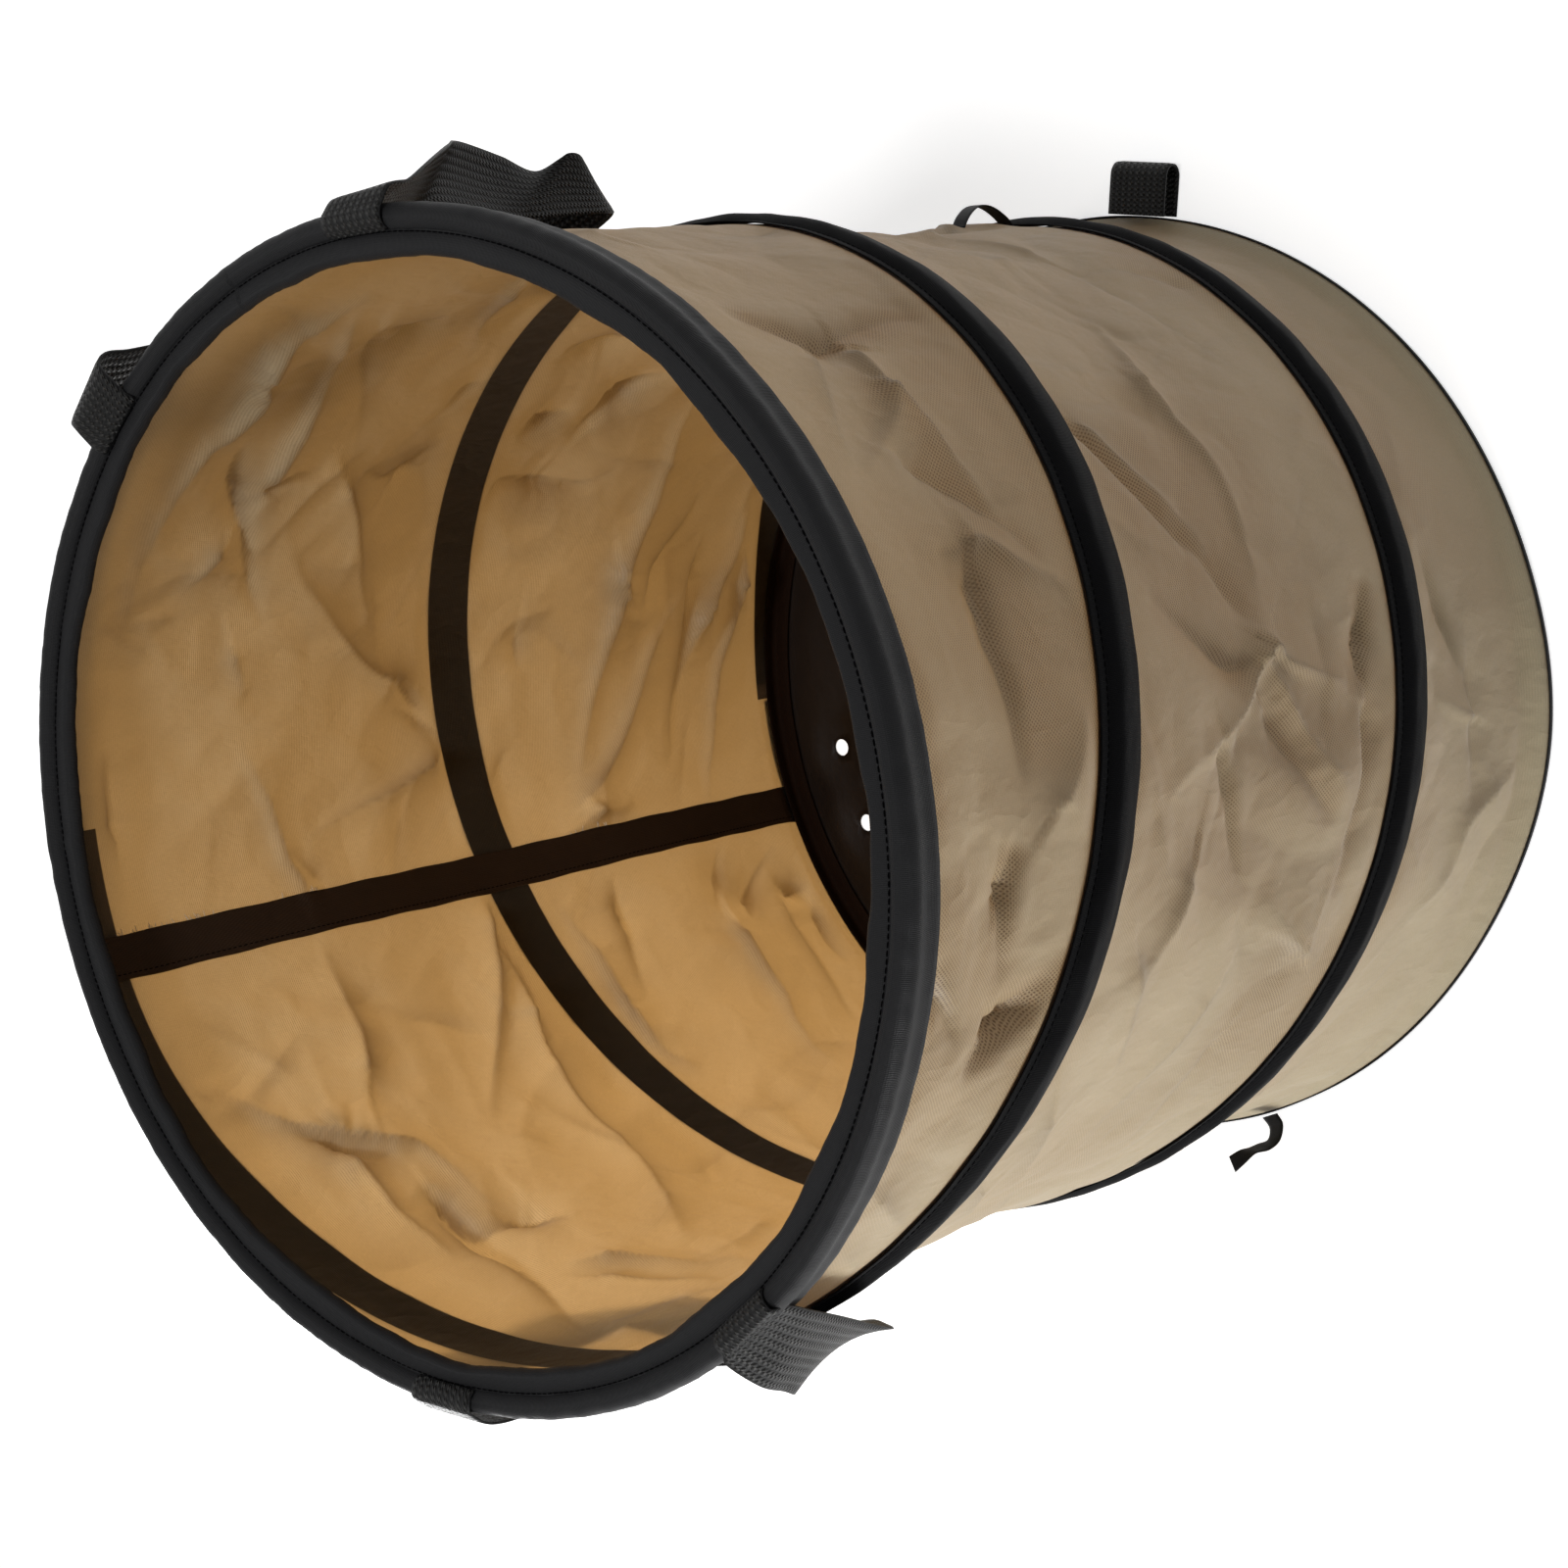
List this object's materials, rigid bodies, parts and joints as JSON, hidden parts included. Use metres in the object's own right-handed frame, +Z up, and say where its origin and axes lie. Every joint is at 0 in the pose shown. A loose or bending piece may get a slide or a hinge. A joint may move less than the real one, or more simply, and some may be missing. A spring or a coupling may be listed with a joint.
{
  "type": "pop-up garden bag",
  "caption": "Round pop-up bag: a cloth tube held open by a coiled spring wire between two wire hoops, with webbing handles at the mouth; it presses flat.",
  "frame": {"origin": "centre of the underside, on the floor", "axes": "+Z up out of the mouth, +X towards handle A"},
  "size_m": [0.6396, 0.56, 0.5971],
  "materials": {
    "wall_cloth": "open plain weave polyester mesh, thin, slightly see-through",
    "base_cloth": "woven polyester, matt black, creased",
    "binding": "twill polyester tape, dull black",
    "webbing": "ribbed polypropylene webbing, soft sheen",
    "trim_tape": "narrow grosgrain tape, dull black",
    "spring_wire": "drawn spring steel",
    "sleeve": "zinc plated, crimped"
  },
  "bodies": {
    "base": {"base_panel": "base_cloth", "base_binding": "binding", "base_hoop": "spring_wire", "base_sleeve": "sleeve", "wall_cloth": "wall_cloth", "seam_tape": "binding", "spring_coil": "spring_wire", "coil_casing": "binding"},
    "rim": {"rim_hoop": "spring_wire", "rim_sleeve": "sleeve", "rim_binding": "binding", "handle_a_ends": "webbing", "handle_b_ends": "webbing"},
    "handle_a": {"handle_a": "webbing"},
    "handle_b": {"handle_b": "webbing"},
    "grab_loop": {"grab_loop": "webbing"},
    "tie_ribbon": {"tie_ribbon": "trim_tape"},
    "tie_loop": {"tie_loop": "trim_tape"}
  },
  "joints": [
    {"name": "collapse", "type": "slide", "parent": "base", "child": "rim", "axis": [0, 0, -1], "range_m": [0, 0.505], "stiffness_N_per_m": 60, "springref_m": -0.12, "deforming": ["wall_cloth", "seam_tape", "spring_coil", "coil_casing"]},
    {"name": "handle_a_swing", "type": "hinge", "parent": "rim", "child": "handle_a", "pos_m": [0.27046, 0.00944, 0.5962], "axis": [0.0349, -0.9994, 0], "range_deg": [0, 200]},
    {"name": "handle_b_swing", "type": "hinge", "parent": "rim", "child": "handle_b", "pos_m": [-0.27036, 0.0118, 0.5962], "axis": [0.0436, 0.999, 0], "range_deg": [0, 200]},
    {"name": "grab_loop_fold", "type": "hinge", "parent": "base", "child": "grab_loop", "pos_m": [0.24332, -0.13487, 0.0161], "axis": [-0.4848, -0.8746, 0], "range_deg": [0, 80]},
    {"name": "tie_ribbon_fold", "type": "hinge", "parent": "base", "child": "tie_ribbon", "pos_m": [-0.27782, 0.01456, 0.0044], "axis": [0.0523, 0.9986, 0], "range_deg": [0, 30]},
    {"name": "tie_loop_drop", "type": "slide", "parent": "base", "child": "tie_loop", "axis": [0, 0, -1], "range_m": [0, 0.097]}
  ],
  "couplings": [
    {"joint": "tie_loop_drop", "follows": "collapse", "ratio": 0.19}
  ]
}
